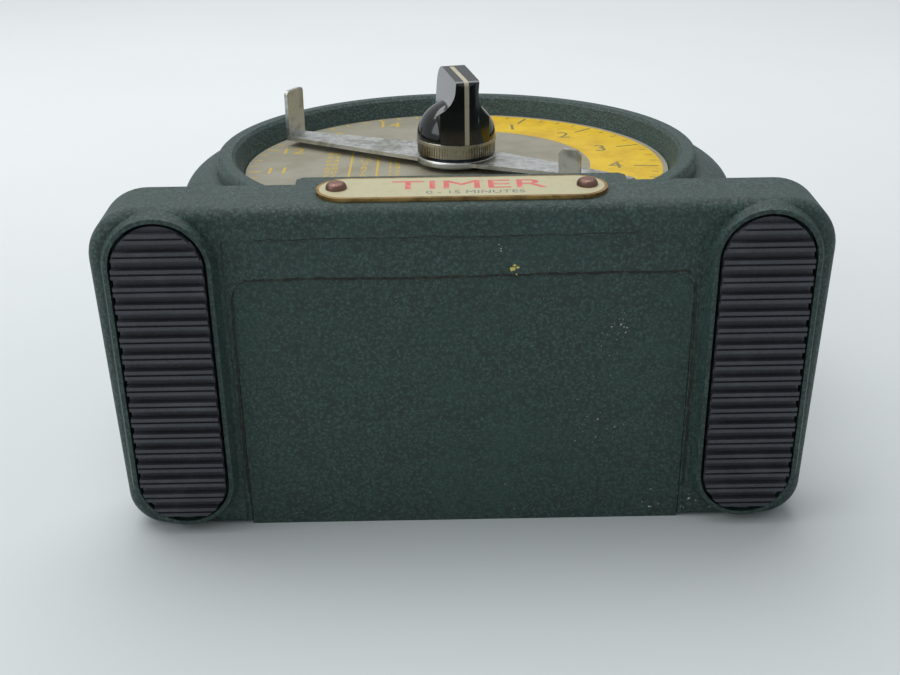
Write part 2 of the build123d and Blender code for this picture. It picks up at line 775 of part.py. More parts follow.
# ---------------------------------------------------------------- movement: where its arbors stand
pressure_angle = radians(25)
second_mesh = 50                 # direction of each arbor's centre from the one before it
third_mesh = 110
escape_mesh = 180
second_place = polar_point(second_mesh, 28)
third_place = polar_point(third_mesh, 18, second_place)
escape_place = polar_point(escape_mesh, 15, third_place)
pallet_place = polar_point(200, 10.5, escape_place)
balance_place = polar_point(215, 14, pallet_place)
hammer_place = (23.9, -20.0)
gong_place = (0, -7)
plate_centre = (-2, 14)
plate_size = (78, 84)
plate_reach = 62.5
pillar_places = ((-36, -22), (32, -22), (30, 48), (-33, 48))
pillar_radius = 3.0
pillar_screw_radius = 1.2
pillar_screw_head = (2.4, 1.6)   # radius and height
pillar_screw_length = 6.5
pillar_thread_depth = 6.0
movement_screw_head = 1.8
movement_screw_length = 4.6
mainspring_post_place = (-22.6, 0)
mainspring_post_radius = 1.5
pivot_end_gap = 0.2              # between a pivot's end and the plate's outer face
arbor_places = (second_place, third_place, escape_place, pallet_place, balance_place, hammer_place)


def gear_points(centre, teeth, module, phase_degrees):
    """Outline of a spur gear with short involute teeth; one tooth points along the phase angle."""
    pitch = module * teeth / 2
    base = pitch * cos(pressure_angle)
    tip = pitch + 0.8 * module
    root = pitch - 1.05 * module
    thinning = 0.05 / pitch

    def half_angle(radius):
        roll = acos(min(1.0, base / max(radius, base)))
        at_pitch = tan(pressure_angle) - pressure_angle
        return pi / (2 * teeth) - thinning + at_pitch - (tan(roll) - roll)

    radii = [root, pitch, tip] if root > base else [root, base, pitch, tip]
    points = []
    for tooth in range(teeth):
        middle = radians(phase_degrees) + 2 * pi * tooth / teeth
        for radius in radii:
            angle = middle - half_angle(radius)
            points.append((centre[0] + radius * cos(angle), centre[1] + radius * sin(angle)))
        for radius in reversed(radii):
            angle = middle + half_angle(radius)
            points.append((centre[0] + radius * cos(angle), centre[1] + radius * sin(angle)))
    return points


def add_gear(centre, bottom, top, teeth, module, phase_degrees, bore):
    """Add a gear, with its bore, to the part being built."""
    with BuildSketch(Plane.XY.offset(bottom)) as blank:
        with BuildLine():
            Polyline(*gear_points(centre, teeth, module, phase_degrees), close=True)
        make_face()
        if bore > 0:
            with Locations(centre):
                Circle(bore, mode=Mode.SUBTRACT)
    extrude(blank.sketch, amount=top - bottom)


def cut_windows(centre, bottom, top, ring, radius, count):
    """Lighten a wheel with a ring of round holes."""
    with BuildSketch(Plane.XY.offset(bottom)) as windows:
        with Locations(centre):
            with PolarLocations(ring, count):
                Circle(radius)
    extrude(windows.sketch, amount=top - bottom, mode=Mode.SUBTRACT)


def add_arbor(centre, radius, bottom, top):
    """Add a plain arbor between the plates, with a thin pivot at each end."""
    add_cylinder(centre, back_plate_z[0] + pivot_end_gap, front_plate_z[1] - pivot_end_gap, pivot_radius)
    add_cylinder(centre, bottom, top, radius)


# ---------------------------------------------------------------- movement plates
for name, levels in (("movement_back_plate", back_plate_z), ("movement_front_plate", front_plate_z)):
    with BuildPart() as movement_plate:
        with BuildSketch(Plane.XY.offset(levels[0])):
            with Locations(plate_centre):
                RectangleRounded(*plate_size, 6)
            Circle(plate_reach, mode=Mode.INTERSECT)
            with Locations(*arbor_places):
                Circle(pivot_radius + pivot_gap, mode=Mode.SUBTRACT)
            Circle(arbor_radius + arbor_bore_gap, mode=Mode.SUBTRACT)
            with Locations(*pillar_places):
                Circle(pillar_screw_radius, mode=Mode.SUBTRACT)
            if levels == front_plate_z:
                with Locations(*movement_screw_places):
                    Circle(screw_radius, mode=Mode.SUBTRACT)
        extrude(amount=levels[1] - levels[0])
    movement_plate.part.label = name
    export_step(movement_plate.part, f"parts/{name}.step")

with BuildPart() as movement_pillars:
    for place in pillar_places:
        add_cylinder(place, back_plate_z[1], front_plate_z[0], pillar_radius)
        add_cylinder(place, front_plate_z[0], front_plate_z[1], pillar_screw_radius)
        thread_top = back_plate_z[1] + pillar_thread_depth
        add_cylinder(place, back_plate_z[1], thread_top, pillar_screw_radius, mode=Mode.SUBTRACT)
movement_pillars.part.label = "movement_pillars"
export_step(movement_pillars.part, "parts/movement_pillars.step")

with BuildPart() as pillar_screws:
    for place in pillar_places:
        seat = Plane(origin=(*place, back_plate_z[0]), x_dir=(1, 0, 0), z_dir=(0, 0, -1))
        add_slotted_screw(seat, *pillar_screw_head, pillar_screw_radius, pillar_screw_length)
pillar_screws.part.label = "pillar_screws"
export_step(pillar_screws.part, "parts/pillar_screws.step")

with BuildPart() as movement_screws:
    for place in movement_screw_places:
        seat = Plane(origin=(*place, front_plate_z[0]), x_dir=(1, 0, 0), z_dir=(0, 0, -1))
        add_slotted_screw(seat, screw_head_radius, movement_screw_head, screw_radius, movement_screw_length)
movement_screws.part.label = "movement_screws"
export_step(movement_screws.part, "parts/movement_screws.step")

# ---------------------------------------------------------------- mainspring and its post
mainspring_z = (53.5, 59.5)
mainspring_inner = 3.4
mainspring_outer = 20.6
mainspring_turns = 6
strip_thickness = 0.45


def spiral_points(centre, inner, outer, turns):
    """Points along a flat spiral that ends on the -X side of its centre."""
    steps = 12 * turns
    points = []
    for step in range(steps + 1):
        degrees = 180 + 360 * turns * (step / steps - 1)
        points.append(polar_point(degrees, inner + (outer - inner) * step / steps, centre))
    return points


def add_spiral(centre, levels, inner, outer, turns, thickness):
    """Add a flat spiral strip to the part being built."""
    inside = spiral_points(centre, inner, outer, turns)
    outside = spiral_points(centre, inner + thickness, outer + thickness, turns)
    with BuildSketch(Plane.XY.offset(levels[0])) as strip:
        with BuildLine():
            Spline(*inside)
            Line(inside[-1], outside[-1])
            Spline(*reversed(outside))
            Line(outside[0], inside[0])
        make_face()
    extrude(strip.sketch, amount=levels[1] - levels[0])


with BuildPart() as mainspring:
    add_spiral((0, 0), mainspring_z, mainspring_inner, mainspring_outer, mainspring_turns, strip_thickness)
mainspring.part.label = "mainspring"
export_step(mainspring.part, "parts/mainspring.step")

with BuildPart() as mainspring_post:
    add_cylinder(mainspring_post_place, mainspring_z[0], front_plate_z[0], mainspring_post_radius)
mainspring_post.part.label = "mainspring_post"
export_step(mainspring_post.part, "parts/mainspring_post.step")

# ---------------------------------------------------------------- main arbor and what turns with it
great_wheel_z = (49.5, 51.5)
great_teeth = 60
great_module = 0.8
pinion_teeth = 10
ratchet_z = (51.6, 53.0)
ratchet_teeth = 24
ratchet_radius = 9.0
ratchet_tooth_depth = 1.1
click_place = polar_point(200, 15)
click_eye_radius = 1.8
great_window_ring = 14.5
great_window_radius = 4.2
window_count = 5
cam_z = (41.0, 43.0)
cam_radius = 9.6
cam_low_radius = 6.0
cam_rise = 300                   # degrees over which the cam climbs

with BuildPart() as main_arbor:
    add_cylinder((0, 0), back_plate_z[0] + pivot_end_gap, knob_bore_top, arbor_radius)
main_arbor.part.label = "main_arbor"
export_step(main_arbor.part, "parts/main_arbor.step")

with BuildPart() as great_wheel:
    add_gear((0, 0), *great_wheel_z, great_teeth, great_module, second_mesh, arbor_radius)
    cut_windows((0, 0), *great_wheel_z, great_window_ring, great_window_radius, window_count)
great_wheel.part.label = "great_wheel"
export_step(great_wheel.part, "parts/great_wheel.step")

with BuildPart() as ratchet_wheel:
    with BuildSketch(Plane.XY.offset(ratchet_z[0])):
        with BuildLine():
            ratchet_points = []
            for tooth in range(ratchet_teeth):
                angle = 360 * tooth / ratchet_teeth
                ratchet_points.append(polar_point(angle, ratchet_radius - ratchet_tooth_depth))
                ratchet_points.append(polar_point(angle, ratchet_radius))
            Polyline(*ratchet_points, close=True)
        make_face()
        Circle(arbor_radius, mode=Mode.SUBTRACT)
    extrude(amount=ratchet_z[1] - ratchet_z[0])
ratchet_wheel.part.label = "ratchet_wheel"
export_step(ratchet_wheel.part, "parts/ratchet_wheel.step")

with BuildPart() as click:
    with BuildSketch(Plane.XY.offset(ratchet_z[0])):
        with Locations(click_place):
            Circle(click_eye_radius)
        with BuildLine():
            Polyline(
                polar_point(193, 15.5),
                polar_point(207, 15.5),
                polar_point(222, 10.2),
                polar_point(219, 9.3),
                close=True,
            )
        make_face()
    extrude(amount=ratchet_z[1] - ratchet_z[0])
click.part.label = "click"
export_step(click.part, "parts/click.step")

with BuildPart() as trip_cam:
    with BuildSketch(Plane.XY.offset(cam_z[0])):
        with BuildLine():
            cam_steps = 12
            cam_points = [
                polar_point(
                    cam_rise * step / cam_steps,
                    cam_low_radius + (cam_radius - cam_low_radius) * step / cam_steps,
                )
                for step in range(cam_steps + 1)
            ]
            Spline(*cam_points)
            Line(cam_points[-1], cam_points[0])
        make_face()
        Circle(arbor_radius, mode=Mode.SUBTRACT)
    extrude(amount=cam_z[1] - cam_z[0])
trip_cam.part.label = "trip_cam"
export_step(trip_cam.part, "parts/trip_cam.step")

# ---------------------------------------------------------------- train
second_wheel_z = (45.5, 47.0)
second_teeth = 50
second_module = 0.6
third_wheel_z = (42.0, 43.2)
third_teeth = 50
third_module = 0.5
escape_wheel_z = (56.0, 57.0)
escape_teeth = 15
escape_radius = 8.0
half_pinion_step = 180 / pinion_teeth
arbor_thickness = 1.3
escape_arbor_radius = 1.0
escape_tooth_depth = 2.0
train_arbor_foot = 41.0
second_pinion_z = (49.0, 53.5)
third_pinion_z = (44.8, 47.6)
escape_pinion_z = (41.5, 43.8)

with BuildPart() as second_arbor:
    add_arbor(second_place, arbor_thickness, train_arbor_foot, 58.5)
    phase = second_mesh + 180 + half_pinion_step
    add_gear(second_place, *second_pinion_z, pinion_teeth, great_module, phase, 0)
second_arbor.part.label = "second_arbor"
export_step(second_arbor.part, "parts/second_arbor.step")

with BuildPart() as second_wheel:
    add_gear(second_place, *second_wheel_z, second_teeth, second_module, third_mesh, arbor_thickness)
    cut_windows(second_place, *second_wheel_z, 8.5, 3.0, window_count)
second_wheel.part.label = "second_wheel"
export_step(second_wheel.part, "parts/second_wheel.step")

with BuildPart() as third_arbor:
    add_arbor(third_place, arbor_thickness, train_arbor_foot, 50.0)
    phase = third_mesh + 180 + half_pinion_step
    add_gear(third_place, *third_pinion_z, pinion_teeth, second_module, phase, 0)
third_arbor.part.label = "third_arbor"
export_step(third_arbor.part, "parts/third_arbor.step")

with BuildPart() as third_wheel:
    add_gear(third_place, *third_wheel_z, third_teeth, third_module, escape_mesh, arbor_thickness)
    cut_windows(third_place, *third_wheel_z, 7.2, 2.4, window_count)
third_wheel.part.label = "third_wheel"
export_step(third_wheel.part, "parts/third_wheel.step")

with BuildPart() as escape_arbor:
    add_arbor(escape_place, escape_arbor_radius, train_arbor_foot, 58.5)
    phase = escape_mesh + 180 + half_pinion_step
    add_gear(escape_place, *escape_pinion_z, pinion_teeth, third_module, phase, 0)
escape_arbor.part.label = "escape_arbor"
export_step(escape_arbor.part, "parts/escape_arbor.step")

with BuildPart() as escape_wheel:
    with BuildSketch(Plane.XY.offset(escape_wheel_z[0])):
        with BuildLine():
            escape_points = []
            for tooth in range(escape_teeth):
                angle = 360 * tooth / escape_teeth
                escape_points.append(polar_point(angle - 5, escape_radius - escape_tooth_depth, escape_place))
                escape_points.append(polar_point(angle, escape_radius, escape_place))
                escape_points.append(polar_point(angle + 3, escape_radius, escape_place))
                escape_points.append(polar_point(angle + 8, escape_radius - escape_tooth_depth, escape_place))
            Polyline(*escape_points, close=True)
        make_face()
        with Locations(escape_place):
            Circle(escape_arbor_radius, mode=Mode.SUBTRACT)
            with PolarLocations(3.6, 4):
                Circle(1.3, mode=Mode.SUBTRACT)
    extrude(amount=escape_wheel_z[1] - escape_wheel_z[0])
escape_wheel.part.label = "escape_wheel"
export_step(escape_wheel.part, "parts/escape_wheel.step")

# ---------------------------------------------------------------- pallet lever and balance
pallet_z = (58.0, 58.8)
pallet_pin_radius = 0.4
pallet_pin_ring = 8.75
pallet_pin_places = [polar_point(200 + spread, pallet_pin_ring, escape_place) for spread in (-36, 36)]
fork_direction = 215
fork_end = polar_point(fork_direction, 11.0, pallet_place)

with BuildPart() as pallet_lever:
    add_arbor(pallet_place, 0.9, 54.0, 59.5)
    with BuildSketch(Plane.XY.offset(pallet_z[0])) as lever_blank:
        for end, width in ((pallet_pin_places[0], 1.8), (pallet_pin_places[1], 1.8), (fork_end, 2.2)):
            middle = ((pallet_place[0] + end[0]) / 2, (pallet_place[1] + end[1]) / 2)
            SlotCenterPoint(middle, end, width)
        with Locations(fork_end):
            Circle(0.7, mode=Mode.SUBTRACT)
    extrude(amount=pallet_z[1] - pallet_z[0])
pallet_lever.part.label = "pallet_lever"
export_step(pallet_lever.part, "parts/pallet_lever.step")

with BuildPart() as pallet_pins:
    for place in pallet_pin_places:
        add_cylinder(place, escape_wheel_z[0] - 0.6, pallet_z[0], pallet_pin_radius)
pallet_pins.part.label = "pallet_pins"
export_step(pallet_pins.part, "parts/pallet_pins.step")

balance_z = (44.0, 46.0)
balance_radius = 9.5
balance_rim_width = 1.8
balance_spoke_width = 2.4
balance_arbor_radius = 1.0
roller_z = (56.0, 56.8)
roller_radius = 3.2
impulse_pin_ring = 2.4
impulse_pin_radius = 0.4
hairspring_z = (42.0, 42.8)
hairspring_inner = 1.4
hairspring_outer = 6.6
hairspring_turns = 4
hairspring_strip = 0.3
hairspring_stud_radius = 0.9

with BuildPart() as balance_arbor:
    add_arbor(balance_place, balance_arbor_radius, train_arbor_foot, 57.0)
    add_cylinder(balance_place, roller_z[0], roller_z[1], roller_radius)
    pin_place = polar_point(fork_direction - 180, impulse_pin_ring, balance_place)
    add_cylinder(pin_place, roller_z[1], pallet_z[0] - 0.3, impulse_pin_radius)
balance_arbor.part.label = "balance_arbor"
export_step(balance_arbor.part, "parts/balance_arbor.step")

with BuildPart() as balance_wheel:
    with BuildSketch(Plane.XY.offset(balance_z[0])):
        with Locations(balance_place):
            Circle(balance_radius)
            Circle(balance_radius - balance_rim_width, mode=Mode.SUBTRACT)
            Rectangle(2 * balance_radius - 1, balance_spoke_width)
            Circle(balance_spoke_width)
            Circle(balance_arbor_radius, mode=Mode.SUBTRACT)
    extrude(amount=balance_z[1] - balance_z[0])
balance_wheel.part.label = "balance_wheel"
export_step(balance_wheel.part, "parts/balance_wheel.step")

with BuildPart() as hairspring:
    add_spiral(
        balance_place, hairspring_z, hairspring_inner, hairspring_outer, hairspring_turns, hairspring_strip
    )
    stud_reach = hairspring_outer + hairspring_strip / 2 + hairspring_stud_radius - 0.05
    stud = (balance_place[0] - stud_reach, balance_place[1])
    add_cylinder(stud, back_plate_z[1], hairspring_z[1] + 0.6, hairspring_stud_radius)
hairspring.part.label = "hairspring"
export_step(hairspring.part, "parts/hairspring.step")

# ---------------------------------------------------------------- bell and hammer
gong_radius = 30.0
gong_thickness = 1.6
gong_crown_z = 14.0
gong_rim_z = 30.0
gong_post_radius = 2.5
hammer_arm_z = (31.5, 33.0)
hammer_tail_z = (41.0, 42.5)
hammer_head_radius = 3.0
hammer_head_place = polar_point(-75, gong_radius + 0.8 + hammer_head_radius, gong_place)
hammer_tail_end = polar_point(-40, 11.4)
hammer_hub_radius = 1.6
hammer_arm_width = 2.4
hammer_tail_eye = 3.0
hammer_arm_eye = 2.6
hammer_head_foot = 24.0
gong_screw_head = (4.0, 2.0)     # radius and height
gong_screw_length = 8.0
gong_shoulder = 4.0              # radius of the post above the gong
gong_bulge = 2.4                 # how far the gong's side lies inside its rim, half-way up
hammer_way = ((hammer_tail_end[0] + hammer_place[0]) / 2, (hammer_tail_end[1] + hammer_place[1]) / 2)
hammer_arm_middle = (
    (hammer_head_place[0] + hammer_place[0]) / 2,
    (hammer_head_place[1] + hammer_place[1]) / 2,
)

with BuildPart() as bell_gong:
    with BuildSketch(Plane(origin=(*gong_place, 0), x_dir=(1, 0, 0), z_dir=(0, -1, 0))):
        with BuildLine():
            gong_depth = gong_rim_z - gong_crown_z
            Line((gong_post_radius, gong_crown_z), (gong_radius - gong_depth * 0.7, gong_crown_z))
            Spline(
                (gong_radius - gong_depth * 0.7, gong_crown_z),
                (gong_radius - gong_bulge, gong_crown_z + gong_depth * 0.45),
                (gong_radius, gong_rim_z),
                tangents=((1, 0), (0, 1)),
            )
            Line((gong_radius, gong_rim_z), (gong_radius - gong_thickness, gong_rim_z))
            Spline(
                (gong_radius - gong_thickness, gong_rim_z),
                (gong_radius - gong_bulge - gong_thickness, gong_crown_z + gong_depth * 0.5),
                (gong_radius - gong_depth * 0.7, gong_crown_z + gong_thickness),
                tangents=((0, -1), (-1, 0)),
            )
            Line(
                (gong_radius - gong_depth * 0.7, gong_crown_z + gong_thickness),
                (gong_post_radius, gong_crown_z + gong_thickness),
            )
            Line((gong_post_radius, gong_crown_z + gong_thickness), (gong_post_radius, gong_crown_z))
        make_face()
    revolve(axis=Axis((*gong_place, 0), (0, 0, 1)))
bell_gong.part.label = "bell_gong"
export_step(bell_gong.part, "parts/bell_gong.step")

with BuildPart() as gong_post:
    add_cylinder(gong_place, gong_crown_z, back_plate_z[0], gong_post_radius)
    add_cylinder(gong_place, gong_crown_z + gong_thickness, back_plate_z[0], gong_shoulder)
    add_cylinder(gong_place, gong_crown_z, gong_crown_z + gong_screw_length, screw_radius, mode=Mode.SUBTRACT)
gong_post.part.label = "gong_post"
export_step(gong_post.part, "parts/gong_post.step")

with BuildPart() as gong_screw:
    gong_seat = Plane(origin=(*gong_place, gong_crown_z), x_dir=(1, 0, 0), z_dir=(0, 0, -1))
    add_slotted_screw(gong_seat, *gong_screw_head, screw_radius, gong_screw_length)
gong_screw.part.label = "gong_screw"
export_step(gong_screw.part, "parts/gong_screw.step")

with BuildPart() as hammer_arbor:
    add_cylinder(hammer_place, hammer_arm_z[0] - 0.5, front_plate_z[1] - pivot_end_gap, pivot_radius)
    add_cylinder(hammer_place, 40.0, 46.0, hammer_hub_radius)
hammer_arbor.part.label = "hammer_arbor"
export_step(hammer_arbor.part, "parts/hammer_arbor.step")

with BuildPart() as hammer_tail:
    with BuildSketch(Plane.XY.offset(hammer_tail_z[0])):
        SlotCenterPoint(hammer_way, hammer_tail_end, hammer_arm_width)
        with Locations(hammer_place):
            Circle(hammer_tail_eye)
            Circle(hammer_hub_radius, mode=Mode.SUBTRACT)
    extrude(amount=hammer_tail_z[1] - hammer_tail_z[0])
hammer_tail.part.label = "hammer_tail"
export_step(hammer_tail.part, "parts/hammer_tail.step")

with BuildPart() as bell_hammer:
    with BuildSketch(Plane.XY.offset(hammer_arm_z[0])):
        SlotCenterPoint(hammer_arm_middle, hammer_head_place, hammer_arm_width)
        with Locations(hammer_place):
            Circle(hammer_arm_eye)
            Circle(pivot_radius, mode=Mode.SUBTRACT)
    extrude(amount=hammer_arm_z[1] - hammer_arm_z[0])
    add_cylinder(hammer_head_place, hammer_head_foot, hammer_arm_z[1], hammer_head_radius)
bell_hammer.part.label = "bell_hammer"
export_step(bell_hammer.part, "parts/bell_hammer.step")
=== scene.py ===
"""Looks for the spring-wound interval timer: materials, dial print, nameplate print and wear.

Everything is in metres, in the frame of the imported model: +Z out of the dial, +Y towards twelve
o'clock and -Y towards the footed underside.  The timer lies on its back on a pale floor.
"""

import json
import math
import random

import bmesh
import bpy
from mathutils import Matrix, Vector


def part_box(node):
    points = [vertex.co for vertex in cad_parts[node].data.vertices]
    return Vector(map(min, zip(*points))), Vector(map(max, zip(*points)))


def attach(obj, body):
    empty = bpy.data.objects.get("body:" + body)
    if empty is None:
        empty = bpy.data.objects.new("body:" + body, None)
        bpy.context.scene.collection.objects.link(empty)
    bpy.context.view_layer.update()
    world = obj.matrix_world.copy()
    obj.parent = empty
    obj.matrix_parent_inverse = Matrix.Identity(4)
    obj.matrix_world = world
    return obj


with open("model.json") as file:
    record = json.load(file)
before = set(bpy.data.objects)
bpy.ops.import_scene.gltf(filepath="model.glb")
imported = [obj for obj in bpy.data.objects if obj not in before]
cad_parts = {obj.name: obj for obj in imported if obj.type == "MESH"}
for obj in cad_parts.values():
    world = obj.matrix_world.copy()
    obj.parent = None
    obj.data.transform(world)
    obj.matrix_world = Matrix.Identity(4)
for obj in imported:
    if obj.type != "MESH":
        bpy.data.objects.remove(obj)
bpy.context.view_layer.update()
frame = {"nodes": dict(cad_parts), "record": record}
scene = bpy.context.scene
scene.view_settings.view_transform = "Standard"
MM = 0.001

# Planes of the base, from the CAD boxes
LEAN = math.radians(3.0)
BASE_REAR_Y = -78.2 * MM
BASE_DEPTH = 82.6 * MM
UNDER_NORMAL = Vector((0, -math.cos(LEAN), -math.sin(LEAN)))
UP_BASE = Vector((0, -math.sin(LEAN), math.cos(LEAN)))
UNDER_ORIGIN = Vector((0, BASE_REAR_Y, 0))
DIAL_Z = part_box("dial_plate")[1].z


# ---------------------------------------------------------------- shader helpers
class Surface:
    """A node material that is built step by step."""

    def __init__(self, name):
        self.material = bpy.data.materials.new(name)
        self.material.use_nodes = True
        self.tree = self.material.node_tree
        self.bsdf = self.tree.nodes["Principled BSDF"]
        coordinates = self.tree.nodes.new("ShaderNodeTexCoord")
        scaled = self.tree.nodes.new("ShaderNodeVectorMath")
        scaled.operation = "SCALE"
        scaled.inputs["Scale"].default_value = 1000.0
        self.tree.links.new(coordinates.outputs["Object"], scaled.inputs[0])
        self.place = scaled.outputs[0]  # position on the piece, in millimetres

    def put(self, socket, value):
        if isinstance(value, bpy.types.NodeSocket):
            self.tree.links.new(value, socket)
        else:
            socket.default_value = value

    def stretched(self, factors):
        node = self.tree.nodes.new("ShaderNodeVectorMath")
        node.operation = "MULTIPLY"
        self.put(node.inputs[0], self.place)
        self.put(node.inputs[1], factors)
        return node.outputs[0]

    def noise(self, scale, detail=2.0, roughness=0.5, at=None):
        node = self.tree.nodes.new("ShaderNodeTexNoise")
        self.put(node.inputs["Vector"], at or self.place)
        self.put(node.inputs["Scale"], scale)
        self.put(node.inputs["Detail"], detail)
        self.put(node.inputs["Roughness"], roughness)
        return node.outputs["Fac"]

    def cells(self, scale):
        node = self.tree.nodes.new("ShaderNodeTexVoronoi")
        node.feature = "SMOOTH_F1"
        self.put(node.inputs["Vector"], self.place)
        self.put(node.inputs["Scale"], scale)
        return node.outputs["Distance"]

    def sums(self, operation, first, second=0.0):
        node = self.tree.nodes.new("ShaderNodeMath")
        node.operation = operation
        self.put(node.inputs[0], first)
        self.put(node.inputs[1], second)
        return node.outputs[0]

    def span(self, value, low, high, to_low=0.0, to_high=1.0):
        node = self.tree.nodes.new("ShaderNodeMapRange")
        node.interpolation_type = "SMOOTHSTEP"
        self.put(node.inputs["Value"], value)
        self.put(node.inputs["From Min"], low)
        self.put(node.inputs["From Max"], high)
        self.put(node.inputs["To Min"], to_low)
        self.put(node.inputs["To Max"], to_high)
        return node.outputs["Result"]

    def blend(self, share, first, second):
        node = self.tree.nodes.new("ShaderNodeMix")
        node.data_type = "RGBA"
        self.put(node.inputs["Factor"], share)
        self.put(node.inputs[6], first)
        self.put(node.inputs[7], second)
        return node.outputs[2]

    def axis(self, index):
        node = self.tree.nodes.new("ShaderNodeSeparateXYZ")
        self.put(node.inputs[0], self.place)
        return node.outputs[index]

    def bump(self, height, depth_mm, strength=1.0):
        node = self.tree.nodes.new("ShaderNodeBump")
        self.put(node.inputs["Height"], height)
        self.put(node.inputs["Distance"], depth_mm * MM)
        self.put(node.inputs["Strength"], strength)
        self.put(self.bsdf.inputs["Normal"], node.outputs["Normal"])

    def finish(self, colour, roughness, metallic=0.0, specular=0.5, coat=0.0, coat_roughness=0.1):
        self.put(self.bsdf.inputs["Base Color"], colour)
        self.put(self.bsdf.inputs["Roughness"], roughness)
        self.put(self.bsdf.inputs["Metallic"], metallic)
        self.put(self.bsdf.inputs["Specular IOR Level"], specular)
        self.put(self.bsdf.inputs["Coat Weight"], coat)
        self.put(self.bsdf.inputs["Coat Roughness"], coat_roughness)
        return self.material


def rgb(red, green, blue):
    """A colour given as screen values from 0 to 255, as the linear colour that shaders use."""
    linear = []
    for value in (red, green, blue):
        share = value / 255
        linear.append(share / 12.92 if share <= 0.04045 else ((share + 0.055) / 1.055) ** 2.4)
    return (*linear, 1.0)


# ---------------------------------------------------------------- materials
def enamel(name, pit_shade_colour, light, worn):
    """Granular enamel: rounded grains under a semi-matt green, rubbed here and there; the grain tops carry a
    painted highlight and the pits painted shade.
    """
    s = Surface(name)
    domes = s.sums("SUBTRACT", 1.0, s.cells(1.3))
    fine = s.noise(2.4, 4.0, 0.7)
    grain = s.sums("ADD", s.sums("MULTIPLY", domes, 0.5), s.sums("MULTIPLY", fine, 1.0))
    patches = s.noise(0.045, 4.0, 0.6)
    # Painted highlight and painted shade: grain tops take the lighter colour and the pits between grains
    # take the darker one.
    colour = s.blend(s.span(grain, 0.66, 1.12), pit_shade_colour, light)
    colour = s.blend(s.span(patches, 0.42, 0.75, 0.0, 0.45), colour, worn)
    rubbed = s.sums("MULTIPLY", s.span(s.noise(0.22, 5.0, 0.7), 0.56, 0.70), s.span(grain, 0.95, 1.12))
    colour = s.blend(s.sums("MULTIPLY", rubbed, 0.45), colour, rgb(136, 150, 144))
    s.bump(grain, 0.30, 1.0)
    roughness = s.span(patches, 0.3, 0.7, 0.42, 0.55)
    return s.finish(colour, roughness, specular=0.55)


def metal(name, colour, tarnish, roughness, grain_scale=2.0, pits=0.03, share=0.5, stretch=None):
    """Bare or plated metal with fine marks and patches of tarnish."""
    s = Surface(name)
    at = s.stretched(stretch) if stretch else s.place
    marks = s.noise(grain_scale, 4.0, 0.65, at=at)
    patches = s.noise(0.16, 5.0, 0.65)
    mask = s.sums("MULTIPLY", s.span(patches, 0.42, 0.68), share)
    mask = s.sums("ADD", mask, s.sums("MULTIPLY", s.span(marks, 0.60, 0.75), share * 0.5))
    s.bump(marks, pits, 0.7)
    rough = s.span(marks, 0.3, 0.75, roughness * 0.8, min(1.0, roughness * 1.5))
    return s.finish(s.blend(mask, colour, tarnish), rough, metallic=1.0)


def rubber(name):
    s = Surface(name)
    fine = s.noise(3.0, 3.0, 0.6)
    dust = s.span(s.noise(0.12, 4.0, 0.65), 0.45, 0.8, 0.0, 0.35)
    colour = s.blend(s.span(fine, 0.35, 0.7), rgb(46, 48, 54), rgb(68, 70, 78))
    colour = s.blend(dust, colour, rgb(92, 94, 98))
    s.bump(fine, 0.03, 0.7)
    return s.finish(colour, s.span(fine, 0.3, 0.7, 0.38, 0.52), specular=0.5)


def bakelite(name):
    s = Surface(name)
    scuffs = s.noise(0.9, 5.0, 0.7, at=s.stretched((1.0, 1.0, 4.0)))
    colour = s.blend(s.span(scuffs, 0.55, 0.8), rgb(10, 10, 11), rgb(30, 30, 32))
    s.bump(s.noise(0.35, 2.0), 0.02, 0.5)
    roughness = s.span(scuffs, 0.45, 0.8, 0.12, 0.30)
    return s.finish(colour, roughness, specular=0.6, coat=0.35, coat_roughness=0.06)


def print_ink(name, colour, faded, roughness=0.45, wear=0.5):
    """Ink or lacquer that has thinned in patches."""
    s = Surface(name)
    worn = s.span(s.noise(0.55, 5.0, 0.7), 0.48, 0.74, 0.0, wear)
    s.bump(s.noise(3.0, 3.0), 0.01, 0.5)
    return s.finish(s.blend(worn, colour, faded), roughness)


def dial_paint(name):
    """The dial's warm grey lacquer, with faint stains and rubbed spots."""
    s = Surface(name)
    stains = s.noise(0.07, 5.0, 0.6)
    fine = s.noise(1.8, 4.0, 0.6)
    colour = s.blend(s.span(stains, 0.35, 0.7), rgb(151, 147, 130), rgb(134, 129, 110))
    colour = s.blend(s.span(fine, 0.55, 0.8, 0.0, 0.35), colour, rgb(165, 162, 148))
    s.bump(fine, 0.01, 0.5)
    return s.finish(colour, s.span(stains, 0.3, 0.7, 0.34, 0.48), specular=0.5)


def yellow_paint(name):
    s = Surface(name)
    stains = s.noise(0.09, 5.0, 0.65)
    smears = s.noise(0.6, 4.0, 0.6)
    colour = s.blend(s.span(stains, 0.35, 0.7), rgb(222, 186, 10), rgb(196, 156, 0))
    colour = s.blend(s.span(smears, 0.58, 0.78, 0.0, 0.4), colour, rgb(168, 138, 20))
    s.bump(s.noise(1.8, 4.0), 0.01, 0.5)
    return s.finish(colour, s.span(stains, 0.3, 0.7, 0.38, 0.5))


def crack_paint(name):
    s = Surface(name)
    patches = s.noise(0.5, 4.0, 0.7)
    colour = s.blend(s.span(patches, 0.45, 0.7), rgb(16, 22, 20), rgb(64, 66, 52))
    s.bump(patches, 0.05, 0.5)
    return s.finish(colour, s.span(patches, 0.3, 0.7, 0.6, 0.8))
